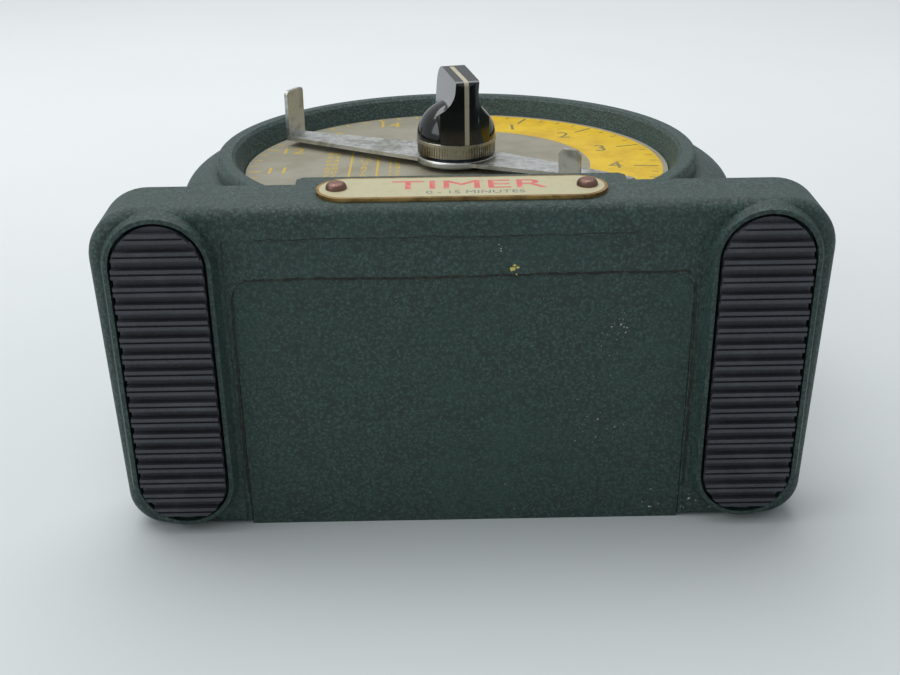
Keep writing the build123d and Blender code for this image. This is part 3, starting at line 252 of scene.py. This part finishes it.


# In each enamel the first colour is the painted shade in the pits of the grain and the second the painted
# highlight on the grain tops.
GREEN = enamel("enamel_green", rgb(28, 49, 45), rgb(72, 101, 94), rgb(50, 76, 70))
GREEN_COVER = enamel("enamel_green_cover", rgb(26, 49, 43), rgb(66, 97, 88), rgb(46, 74, 66))
BLACK_ENAMEL = enamel("enamel_black", rgb(24, 28, 27), rgb(52, 58, 56), rgb(40, 46, 44))
STEEL = metal("steel_turned", rgb(190, 190, 186), rgb(128, 122, 110), 0.30)
SPRING_STEEL = metal("steel_blued", rgb(96, 104, 130), rgb(70, 66, 70), 0.28, pits=0.01)
BELL_STEEL = metal("steel_bell", rgb(200, 200, 196), rgb(150, 146, 136), 0.18, pits=0.01, share=0.3)
BRASS = metal("brass_clock", rgb(206, 170, 92), rgb(140, 104, 50), 0.26, pits=0.01, share=0.4)
BRASS_EDGE = metal("brass_edge", rgb(160, 132, 82), rgb(96, 70, 46), 0.42, share=0.8)
COPPER = metal("copper_pins", rgb(132, 104, 94), rgb(84, 66, 58), 0.46, share=0.8)
NICKEL = metal("nickel_knurled", rgb(186, 182, 166), rgb(118, 108, 86), 0.32, share=0.9)
NICKEL_LEVER = metal("nickel_lever", rgb(206, 208, 206), rgb(140, 138, 124), 0.34, 1.2, 0.05, 0.75)
RUBBER = rubber("rubber_black")
BAKELITE = bakelite("bakelite_black")
INLAY = print_ink("inlay_cream", rgb(178, 172, 150), rgb(140, 132, 108), 0.5)
CREAM = print_ink("print_cream", rgb(184, 178, 144), rgb(164, 152, 112), 0.42)
RED_INK = print_ink("ink_red", rgb(206, 92, 88), rgb(222, 168, 150), 0.4, 0.7)
DARK_INK = print_ink("ink_dark", rgb(98, 112, 108), rgb(160, 162, 140), 0.4, 0.7)
YELLOW_INK = print_ink("ink_yellow", rgb(198, 170, 44), rgb(168, 154, 92), 0.42, 0.6)
GREY_INK = print_ink("ink_grey", rgb(118, 112, 66), rgb(160, 140, 40), 0.42, 0.6)
DIAL = dial_paint("dial_grey")
YELLOW = yellow_paint("dial_yellow")
CRACK = crack_paint("paint_crack")
WHITE_FLECK = print_ink("fleck_white", rgb(176, 178, 168), rgb(140, 146, 130), 0.6)
YELLOW_FLECK = print_ink("fleck_yellow", rgb(206, 196, 96), rgb(176, 170, 90), 0.5, 0.3)

SLOT_MATERIALS = {
    "green_enamel": GREEN,
    "green_enamel_cover": GREEN_COVER,
    "black_enamel": BLACK_ENAMEL,
    "steel": STEEL,
    "spring_steel": SPRING_STEEL,
    "black_rubber": RUBBER,
    "cream_print": BRASS_EDGE,
    "copper": COPPER,
    "dial_print": DIAL,
    "nickel": NICKEL,
    "nickel_lever": NICKEL_LEVER,
    "brass": BRASS,
    "bell_metal": BELL_STEEL,
    "black_bakelite": BAKELITE,
    "cream_inlay": INLAY,
}
for part in frame["record"]["subparts"]:
    mesh = frame["nodes"][part["node"]].data
    mesh.materials.clear()
    mesh.materials.append(SLOT_MATERIALS[part["material_slot"]])


# ---------------------------------------------------------------- geometry helpers
def new_piece(name, mesh, material, body="root", matrix=None):
    """A finished piece that rides on a CAD body."""
    mesh.materials.clear()
    mesh.materials.append(material)
    piece = bpy.data.objects.new(name, mesh)
    scene.collection.objects.link(piece)
    if matrix is not None:
        piece.matrix_world = matrix
    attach(piece, body)
    return piece


def slab(outlines, bottom, top, matrix=None):
    """A mesh of flat closed plates, one per outline of (x, y) points, between two heights."""
    build = bmesh.new()
    for outline in outlines:
        low = [build.verts.new((x, y, bottom)) for x, y in outline]
        high = [build.verts.new((x, y, top)) for x, y in outline]
        count = len(outline)
        build.faces.new(high)
        build.faces.new(list(reversed(low)))
        for i in range(count):
            j = (i + 1) % count
            build.faces.new((low[i], low[j], high[j], high[i]))
    if matrix is not None:
        bmesh.ops.transform(build, matrix=matrix, verts=build.verts)
    bmesh.ops.recalc_face_normals(build, faces=build.faces)
    mesh = bpy.data.meshes.new("slab")
    build.to_mesh(mesh)
    build.free()
    return mesh


def clock(degrees, radius):
    """Plan position in metres at a clock angle and a radius in millimetres."""
    angle = math.radians(degrees)
    return radius * math.sin(angle) * MM, radius * math.cos(angle) * MM


def bar(degrees, inner, outer, width):
    """Outline of a radial mark on the dial; sizes in millimetres."""
    angle = math.radians(degrees)
    along = Vector((math.sin(angle), math.cos(angle)))
    across = Vector((along.y, -along.x)) * width / 2
    corners = [
        along * inner - across,
        along * outer - across,
        along * outer + across,
        along * inner + across,
    ]
    return [(c.x * MM, c.y * MM) for c in corners]


def lettering(name, words, material, place, thickness=0.02):
    """Printed figures as one thin piece; each word is (text, x, y, height, width share) in mm."""
    build = bmesh.new()
    for text, x, y, height, share in words:
        curve = bpy.data.curves.new("word", "FONT")
        curve.body = text
        curve.align_x = "CENTER"
        curve.align_y = "CENTER"
        curve.size = height / 0.72
        curve.extrude = thickness / 2
        curve.resolution_u = 3
        word = bpy.data.objects.new("word", curve)
        scene.collection.objects.link(word)
        bpy.context.view_layer.update()
        mesh = bpy.data.meshes.new_from_object(word.evaluated_get(bpy.context.evaluated_depsgraph_get()))
        mesh.transform(Matrix.Translation((x, y, thickness / 2)) @ Matrix.Diagonal((share, 1, 1, 1)))
        mesh.transform(place @ Matrix.Scale(MM, 4))
        build.from_mesh(mesh)
        bpy.data.meshes.remove(mesh)
        bpy.data.objects.remove(word)
        bpy.data.curves.remove(curve)
    bmesh.ops.remove_doubles(build, verts=build.verts, dist=1e-7)
    joined = bpy.data.meshes.new(name)
    build.to_mesh(joined)
    build.free()
    return new_piece(name, joined, material)


# ---------------------------------------------------------------- dial print
DEGREES_PER_MINUTE = 24.0
YELLOW_MINUTES = 5
YELLOW_RADII = (37.6, 57.6)
print_base = DIAL_Z + 0.004 * MM
on_yellow = DIAL_Z + 0.020 * MM

sector = [clock(a, YELLOW_RADII[1]) for a in range(0, 121, 2)]
sector += [clock(a, YELLOW_RADII[0]) for a in range(120, -1, -2)]
new_piece("dial_yellow_sector", slab([sector], print_base, on_yellow), YELLOW)

yellow_marks = []
grey_marks = []
for quarter in range(60):
    angle = quarter * DEGREES_PER_MINUTE / 4
    minute = quarter / 4
    inside_yellow = minute <= YELLOW_MINUTES
    marks = grey_marks if inside_yellow else yellow_marks
    if quarter % 4 == 0:
        inner = 49.6 if inside_yellow else 54.6
        marks.append(bar(angle, inner, 56.6 if inside_yellow else 58.2, 0.75))
    else:
        marks.append(bar(angle, 54.6 if inside_yellow else 55.8, 56.6 if inside_yellow else 58.2, 0.5))
new_piece(
    "dial_marks_grey", slab(grey_marks, on_yellow, on_yellow + 0.016 * MM), GREY_INK
)

# Rules of the small table in the lower left of the dial
TABLE_RULES = (-29.8, -22.2)
RULE_HALF_WIDTH = 0.3
RULE_LOW, RULE_HIGH = -26, 15
for x in TABLE_RULES:
    left, right_side = x - RULE_HALF_WIDTH, x + RULE_HALF_WIDTH
    corners = ((left, RULE_LOW), (right_side, RULE_LOW), (right_side, RULE_HIGH), (left, RULE_HIGH))
    yellow_marks.append([(a * MM, b * MM) for a, b in corners])
new_piece(
    "dial_marks_yellow", slab(yellow_marks, print_base, print_base + 0.02 * MM), YELLOW_INK
)

grey_words = []
yellow_words = []
for minute in range(15):
    inside_yellow = minute <= YELLOW_MINUTES
    radius = 44.6 if inside_yellow else 50.4
    x, y = clock(minute * DEGREES_PER_MINUTE, radius)
    words = grey_words if inside_yellow else yellow_words
    words.append((str(minute), x / MM, y / MM, 6.6 if inside_yellow else 6.2, 0.9))
for row in range(9):
    y = 12.0 - 3.9 * row
    yellow_words.append((str(60 + 2 * row), -35.2, y, 2.9, 1.0))
    yellow_words.append((str(12 - row), -26.0, y, 2.9, 1.0))
    yellow_words.append((str(18 - row), -17.6, y, 2.9, 1.0))
lettering("dial_figures_grey", grey_words, GREY_INK, Matrix.Translation((0, 0, on_yellow)))
lettering(
    "dial_figures_yellow", yellow_words, YELLOW_INK, Matrix.Translation((0, 0, print_base))
)

# ---------------------------------------------------------------- nameplate print
PLATE_LENGTH, PLATE_WIDTH = 65.6, 13.8
PLATE_MIDDLE = 9.7
PLATE_TOP = 0.9
plate_height = UP_BASE * (BASE_DEPTH + PLATE_TOP * MM)
plate_point = UNDER_ORIGIN + plate_height - UNDER_NORMAL * PLATE_MIDDLE * MM
plate_place = Matrix.Translation(plate_point) @ Matrix(
    (
        (1, 0, 0, 0),
        (0, -UNDER_NORMAL.y, UP_BASE.y, 0),
        (0, -UNDER_NORMAL.z, UP_BASE.z, 0),
        (0, 0, 0, 1),
    )
)


def stadium(length, width, steps=14):
    """Outline of a bar with round ends, in metres."""
    radius = width / 2
    reach = length / 2 - radius
    points = []
    for side in (1, -1):
        for step in range(steps + 1):
            angle = math.radians(-90 + 180 * step / steps)
            x = side * (reach + radius * math.cos(angle))
            y = side * radius * math.sin(angle)
            points.append((x * MM, y * MM))
    return points


FACE_RIM = 0.7  # brass edge left bare around the cream face
FACE_TOP = 0.05
face_outline = stadium(PLATE_LENGTH - 2 * FACE_RIM, PLATE_WIDTH - 2 * FACE_RIM)
new_piece(
    "nameplate_face",
    slab([face_outline], 0.005 * MM, FACE_TOP * MM, plate_place),
    CREAM,
)
ink_place = plate_place @ Matrix.Translation((0, 0, FACE_TOP * MM))
lettering("nameplate_word", [("TIMER", 1.6, 1.1, 5.6, 1.65)], RED_INK, ink_place)
lettering("nameplate_line", [("0 - 15 MINUTES", 3.0, -3.7, 1.9, 1.25)], DARK_INK, ink_place)


# ---------------------------------------------------------------- wear on the casting
# The sunk panel of the underside and the cover in it, in millimetres
COVER_HALF_WIDTH, COVER_FRONT, COVER_SINK = 52.3, 65.4, 0.25
PANEL_HALF_WIDTH, PANEL_FRONT, PANEL_DEPTH = 53.6, 75.0, 0.35


def under_point(x, s, height):
    """A point over the underside: x across, s up from the back plane, height outwards; all in mm."""
    return UNDER_ORIGIN + Vector((x * MM, 0, 0)) + UP_BASE * s * MM + UNDER_NORMAL * height * MM


def under_height(x, s):
    """How high the painted surface lies over the underside plane there, in mm."""
    if abs(x) < COVER_HALF_WIDTH and s < COVER_FRONT:
        return -PANEL_DEPTH - COVER_SINK
    if abs(x) < PANEL_HALF_WIDTH and s < PANEL_FRONT:
        return -PANEL_DEPTH
    return 0.0


def flecks(name, spots, material, seed):
    """Small irregular flakes of paint lying on the underside; spots are (x, s, spread, count, size)."""
    draw = random.Random(seed)
    build = bmesh.new()
    for x, s, spread, count, size in spots:
        for _ in range(count):
            at_x = x + draw.gauss(0, spread)
            at_s = min(max(s + draw.gauss(0, spread), 2.8), 77.5)
            radius = size * draw.uniform(0.45, 1.2)
            height = under_height(at_x, at_s)
            top = build.verts.new(under_point(at_x, at_s, height + 0.10))
            low = build.verts.new(under_point(at_x, at_s, height - 0.05))
            ring = []
            sides = 9
            squeeze = draw.uniform(0.5, 1.0)
            for k in range(sides):
                angle = 2 * math.pi * k / sides
                reach = radius * draw.uniform(0.6, 1.15)
                ring.append(
                    build.verts.new(
                        under_point(
                            at_x + reach * math.cos(angle),
                            at_s + reach * squeeze * math.sin(angle),
                            height + 0.02,
                        )
                    )
                )
            for k in range(sides):
                build.faces.new((top, ring[k], ring[(k + 1) % sides]))
                build.faces.new((low, ring[(k + 1) % sides], ring[k]))
    bmesh.ops.recalc_face_normals(build, faces=build.faces)
    mesh = bpy.data.meshes.new(name)
    build.to_mesh(mesh)
    build.free()
    return new_piece(name, mesh, material)


flecks(
    "wear_flecks_pale",
    [
        (35.8, 51.7, 1.5, 12, 0.24),
        (35.8, 51.7, 4.0, 12, 0.13),
        (32.2, 28.0, 2.6, 14, 0.20),
        (33.0, 34.0, 8.0, 26, 0.12),
        (59.7, 79.3, 1.6, 6, 0.20),
        (45.4, 5.1, 2.2, 8, 0.24),
        (55.3, 4.9, 2.0, 8, 0.28),
        (8.2, 73.2, 0.9, 4, 0.26),
        (15.0, 4.0, 14.0, 12, 0.16),
        (-20.0, 4.0, 16.0, 10, 0.14),
        (0.0, 34.0, 28.0, 44, 0.09),
        (-12.0, 76.0, 20.0, 8, 0.12),
    ],
    WHITE_FLECK,
    11,
)
flecks(
    "wear_fleck_yellow",
    [(11.5, 67.6, 0.35, 4, 0.62), (11.9, 66.0, 0.2, 2, 0.35)],
    YELLOW_FLECK,
    5,
)


def crack(name, points, width, seed, height=0.03):
    """A fine irregular crack in the paint along points (x, s), as a thin closed ribbon."""
    draw = random.Random(seed)
    path = []
    for (x0, s0), (x1, s1) in zip(points, points[1:]):
        length = math.hypot(x1 - x0, s1 - s0)
        steps = max(2, int(length / 0.7))
        for k in range(steps):
            share = k / steps
            path.append((x0 + (x1 - x0) * share, s0 + (s1 - s0) * share))
    path.append(points[-1])
    build = bmesh.new()
    rings = []
    wander = 0.0
    for i, (x, s) in enumerate(path):
        ahead = path[min(i + 1, len(path) - 1)]
        behind = path[max(i - 1, 0)]
        length = math.hypot(ahead[0] - behind[0], ahead[1] - behind[1])
        side = (-(ahead[1] - behind[1]) / length, (ahead[0] - behind[0]) / length)
        wander = 0.75 * wander + draw.uniform(-0.12, 0.12)
        half = width * draw.uniform(0.25, 0.7)
        edges = (wander - half, wander + half)
        lift = max(under_height(x + side[0] * r, s + side[1] * r) for r in edges)
        ring = []
        for offset, level in ((half, height), (-half, height), (-half, -0.1), (half, -0.1)):
            reach = wander + offset
            ring.append(build.verts.new(under_point(x + side[0] * reach, s + side[1] * reach, lift + level)))
        rings.append(ring)
    for one, two in zip(rings, rings[1:]):
        for k in range(4):
            build.faces.new((one[k], one[(k + 1) % 4], two[(k + 1) % 4], two[k]))
    build.faces.new(rings[0])
    build.faces.new(list(reversed(rings[-1])))
    bmesh.ops.recalc_face_normals(build, faces=build.faces)
    mesh = bpy.data.meshes.new(name)
    build.to_mesh(mesh)
    build.free()
    return new_piece(name, mesh, CRACK)


crack(
    "wear_crack_panel",
    [
        (-52.6, 9.0),
        (-52.7, 34.0),
        (-52.4, 60.5),
        (-51.6, 63.6),
        (-49.0, 65.3),
        (-36.6, 65.5),
        (-3.0, 65.5),
        (30.0, 66.0),
        (50.4, 66.0),
        (52.2, 64.6),
        (52.7, 58.0),
        (53.0, 34.0),
        (53.2, 9.0),
    ],
    0.62,
    3,
)
crack("wear_crack_step", [(-46.0, 75.3), (-20.0, 75.4), (8.0, 75.2), (39.0, 75.5)], 0.22, 8, 0.02)


# ---------------------------------------------------------------- floor, camera and light
FLOOR_HALF = 3.0
floor_mesh = bpy.data.meshes.new("floor")
floor_mesh.from_pydata(
    [
        (-FLOOR_HALF, -FLOOR_HALF, 0),
        (FLOOR_HALF, -FLOOR_HALF, 0),
        (FLOOR_HALF, FLOOR_HALF, 0),
        (-FLOOR_HALF, FLOOR_HALF, 0),
    ],
    [],
    [(0, 1, 2, 3)],
)
floor = bpy.data.objects.new("floor", floor_mesh)
scene.collection.objects.link(floor)
ground = Surface("floor_pale")
ground_tone = ground.noise(0.008, 3.0, 0.5)
# Painted shade: the floor is darker towards the camera (low Y) and paler further back, in place of the
# lamp's light falling off.
floor_falloff_share = ground.span(ground.axis(1), -260.0, 420.0)
floor_lit_colour = ground.blend(ground_tone, rgb(226, 229, 230), rgb(221, 225, 226))
floor_shaded_colour = ground.blend(ground_tone, rgb(206, 211, 211), rgb(200, 206, 206))
floor_mesh.materials.append(
    ground.finish(ground.blend(floor_falloff_share, floor_shaded_colour, floor_lit_colour), 0.6, specular=0.3)
)

PITCH, YAW, ROLL = (math.radians(a) for a in (23.27, 0.46, 0.786))
forward = Vector(
    (math.sin(YAW) * math.cos(PITCH), math.cos(YAW) * math.cos(PITCH), -math.sin(PITCH))
)
level = Vector((math.cos(YAW), -math.sin(YAW), 0))
down = forward.cross(level)
right = level * math.cos(ROLL) + down * math.sin(ROLL)
below = -level * math.sin(ROLL) + down * math.cos(ROLL)
camera_data = bpy.data.cameras.new("camera")
camera_data.lens = 50.08
camera_data.sensor_width = 36.0
camera_data.clip_start = 0.01
camera = bpy.data.objects.new("camera", camera_data)
scene.collection.objects.link(camera)
turn = Matrix((right, -below, -forward)).transposed().to_4x4()
camera.matrix_world = Matrix.Translation((-0.00529, -0.34454, 0.16387)) @ turn
scene.camera = camera


def soft_light(name, place, target, size, power, colour=(1, 1, 1)):
    data = bpy.data.lights.new(name, "AREA")
    data.shape = "RECTANGLE"
    data.size, data.size_y = size
    data.energy = power
    data.color = colour
    light = bpy.data.objects.new(name, data)
    scene.collection.objects.link(light)
    light.location = place
    light.rotation_mode = "QUATERNION"
    light.rotation_quaternion = (Vector(target) - Vector(place)).to_track_quat("-Z", "Y")


soft_light("light_above", (-0.25, 0.35, 1.3), (0, 0, 0), (1.6, 1.2), 17.0)
soft_light("light_left", (-1.2, -0.6, 0.8), (0, 0, 0.03), (0.9, 0.9), 4.0, (0.96, 0.98, 1.0))
world = bpy.data.worlds.new("studio")
world.use_nodes = True
world.node_tree.nodes["Background"].inputs["Color"].default_value = (0.93, 0.97, 1.0, 1.0)
world.node_tree.nodes["Background"].inputs["Strength"].default_value = 0.43
scene.world = world
